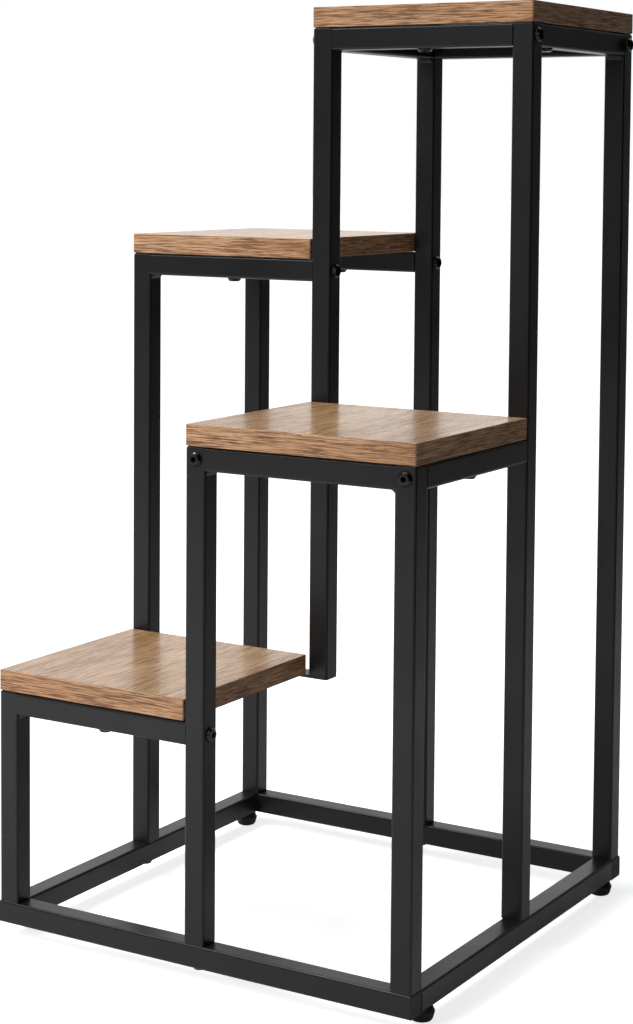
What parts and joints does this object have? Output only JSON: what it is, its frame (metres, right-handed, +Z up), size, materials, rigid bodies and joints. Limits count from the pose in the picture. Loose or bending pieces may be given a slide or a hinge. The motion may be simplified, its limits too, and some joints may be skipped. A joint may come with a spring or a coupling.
{
  "type": "plant stand",
  "caption": "Stepped plant stand: black square-tube steel frame with wood-grain shelves that climb round a centre post, on screw-in levelling feet.",
  "frame": {"origin": "on the floor, under the middle of the base ring", "axes": "+Z up; +X along the front from the lowest shelf's side to the second shelf's side; +Y from the front to the tallest shelf at the back"},
  "size_m": [0.4305, 0.4293, 0.848],
  "materials": {
    "black_frame": "satin powder coat",
    "black_bolt": "black oxide",
    "plated_steel": "zinc plated",
    "black_plastic": "matt moulded",
    "board_face": "satin wood-grain laminate",
    "edge_band": "satin wood-grain band"
  },
  "bodies": {
    "stand": {"base_bolts": "black_bolt", "base_rail_back": "black_frame", "base_rail_front": "black_frame", "base_rail_left": "black_frame", "base_rail_plugs": "black_plastic", "base_rail_right": "black_frame", "centre_plate": "black_frame", "foot_nuts": "plated_steel", "plate_screw": "black_bolt", "post_back_left": "black_frame", "post_back_middle": "black_frame", "post_back_right": "black_frame", "post_caps": "black_plastic", "post_centre": "black_frame", "post_foot_nuts": "plated_steel", "post_front_left": "black_frame", "post_front_middle": "black_frame", "post_front_right": "black_frame", "post_left_middle": "black_frame", "post_right_middle": "black_frame", "rail_bolts": "black_bolt", "rail_end_nuts": "plated_steel", "shelf_1_board": "board_face", "shelf_1_edge_band": "edge_band", "shelf_2_board": "board_face", "shelf_2_edge_band": "edge_band", "shelf_3_board": "board_face", "shelf_3_edge_band": "edge_band", "shelf_4_board": "board_face", "shelf_4_edge_band": "edge_band", "shelf_inserts": "plated_steel", "shelf_screws": "black_bolt", "tier_1_rail_front": "black_frame", "tier_1_rail_left": "black_frame", "tier_2_rail_front": "black_frame", "tier_2_rail_left": "black_frame", "tier_2_rail_right": "black_frame", "tier_3_rail_back": "black_frame", "tier_3_rail_front": "black_frame", "tier_3_rail_left": "black_frame", "tier_4_rail_back": "black_frame", "tier_4_rail_front": "black_frame", "tier_4_rail_left": "black_frame", "tier_4_rail_right": "black_frame", "weld_beads": "black_frame"},
    "foot_front_left": {"foot_front_left_pad": "black_plastic", "foot_front_left_stud": "plated_steel"},
    "foot_front_right": {"foot_front_right_pad": "black_plastic", "foot_front_right_stud": "plated_steel"},
    "foot_back_left": {"foot_back_left_pad": "black_plastic", "foot_back_left_stud": "plated_steel"},
    "foot_back_right": {"foot_back_right_pad": "black_plastic", "foot_back_right_stud": "plated_steel"}
  },
  "joints": [
    {"name": "foot_front_left_screw", "type": "slide", "parent": "stand", "child": "foot_front_left", "axis": [0, 0, -1], "range_m": [0, 0.01]},
    {"name": "foot_front_right_screw", "type": "slide", "parent": "stand", "child": "foot_front_right", "axis": [0, 0, -1], "range_m": [0, 0.01]},
    {"name": "foot_back_left_screw", "type": "slide", "parent": "stand", "child": "foot_back_left", "axis": [0, 0, -1], "range_m": [0, 0.01]},
    {"name": "foot_back_right_screw", "type": "slide", "parent": "stand", "child": "foot_back_right", "axis": [0, 0, -1], "range_m": [0, 0.01]}
  ]
}
